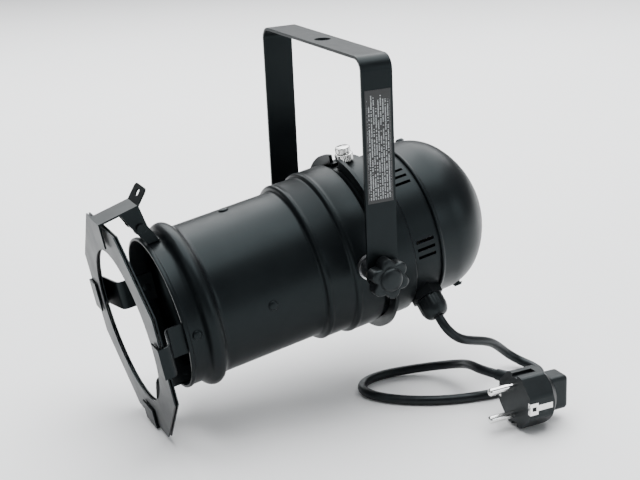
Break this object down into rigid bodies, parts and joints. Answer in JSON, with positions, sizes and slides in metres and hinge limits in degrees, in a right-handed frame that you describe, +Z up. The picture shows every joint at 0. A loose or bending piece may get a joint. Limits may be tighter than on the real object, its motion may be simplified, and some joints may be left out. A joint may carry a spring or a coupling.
{
  "type": "par can light",
  "caption": "Stage par can with tilting yoke, filter frame, clamp knobs, removable rear housing with lamp, and a mains lead with plug",
  "frame": {"origin": "centre of the hanging hole in the outer face of the yoke's top bar", "axes": "+Z up the yoke, out of the hanging hole; -Y towards the beam; +X towards the leg with the rating label"},
  "size_m": [0.2276, 0.2862, 0.2372],
  "materials": {
    "black_paint": "satin black powder coat",
    "zinc_steel": "zinc plated",
    "friction_fibre": "pressed fibre",
    "black_plastic": "moulded, fine grain",
    "bright_nickel": "bright nickel plate",
    "label_film": "printed polyester film",
    "ceramic": "unglazed steatite, opaque",
    "lamp_mirror": "pressed glass, mirror coated inside",
    "lamp_glass": "clear pressed glass",
    "brass": "drawn brass",
    "cord_pvc": "soft black PVC sheath",
    "terminal_plastic": "moulded",
    "wire_brown": "insulated core",
    "wire_blue": "insulated core",
    "wire_green": "insulated core"
  },
  "bodies": {
    "yoke": {"yoke": "black_paint", "rating_label": "label_film"},
    "can": {"can_tube": "black_paint", "tube_rivets": "black_paint", "clip_right": "black_paint", "clip_bottom": "black_paint", "clip_left": "black_paint", "clip_rivets": "black_paint", "latch_bracket": "black_paint", "latch_bracket_rivet": "black_paint", "latch_pin": "black_paint", "latch_spring": "zinc_steel", "filter_frame_front": "black_paint", "filter_frame_back": "black_paint", "filter_frame_rivets": "black_paint", "pivot_insert_right": "zinc_steel", "pivot_insert_left": "zinc_steel", "pivot_spacer_right": "black_paint", "pivot_spacer_left": "black_paint", "friction_washer_right": "friction_fibre", "friction_washer_left": "friction_fibre", "thumb_screw_nut": "zinc_steel"},
    "latch": {"latch": "black_paint"},
    "knob_right": {"tilt_stud_right": "zinc_steel", "tilt_knob_right": "black_plastic", "knob_washer_right": "black_paint"},
    "knob_left": {"tilt_stud_left": "zinc_steel", "tilt_knob_left": "black_plastic", "knob_washer_left": "black_paint"},
    "thumb_screw": {"thumb_screw": "bright_nickel"},
    "rear_housing": {"housing_collar": "black_paint", "vent_band": "black_paint", "dome_cap": "black_paint", "dome_screws": "black_paint", "holder_strap": "zinc_steel", "lampholder": "ceramic", "holder_shell": "brass", "holder_screws": "zinc_steel", "earth_screw": "brass", "terminal_block": "terminal_plastic", "wire_live": "wire_brown", "wire_neutral": "wire_blue", "wire_earth": "wire_green", "gland_body": "black_plastic", "gland_cap": "black_plastic", "gland_locknut": "black_plastic", "cord": "cord_pvc", "plug_body": "black_plastic", "plug_pins": "bright_nickel", "plug_earth_contacts": "bright_nickel"},
    "lamp": {"lamp_reflector": "lamp_mirror", "lamp_lens": "lamp_glass", "lamp_cap": "brass"}
  },
  "joints": [
    {"name": "tilt", "type": "hinge", "parent": "yoke", "child": "can", "pos_m": [0, 0, -0.137], "axis": [1, 0, 0], "range_deg": [-55, 80]},
    {"name": "latch_open", "type": "hinge", "parent": "can", "child": "latch", "pos_m": [0, -0.13343, -0.10002], "axis": [-1, 0, 0], "range_deg": [0, 60], "stiffness_Nm_per_rad": 0.05, "springref_deg": -28.65},
    {"name": "knob_right_turn", "type": "hinge", "parent": "can", "child": "knob_right", "pos_m": [0.0735, 0, -0.137], "axis": [1, 0, 0], "range_deg": [0, 720]},
    {"name": "knob_left_turn", "type": "hinge", "parent": "can", "child": "knob_left", "pos_m": [-0.0735, 0, -0.137], "axis": [-1, 0, 0], "range_deg": [0, 720]},
    {"name": "thumb_screw_turn", "type": "hinge", "parent": "can", "child": "thumb_screw", "pos_m": [0, 0.0112, -0.07429], "axis": [0, -0.165, 0.9863], "range_deg": [0, 1080]},
    {"name": "housing_slide", "type": "slide", "parent": "can", "child": "rear_housing", "axis": [0, 0.9863, 0.165], "range_m": [0, 0.024]},
    {"name": "lamp_turn", "type": "hinge", "parent": "rear_housing", "child": "lamp", "pos_m": [0, 0.04011, -0.13434], "axis": [0, -0.9863, -0.165], "range_deg": [0, 1260]}
  ]
}
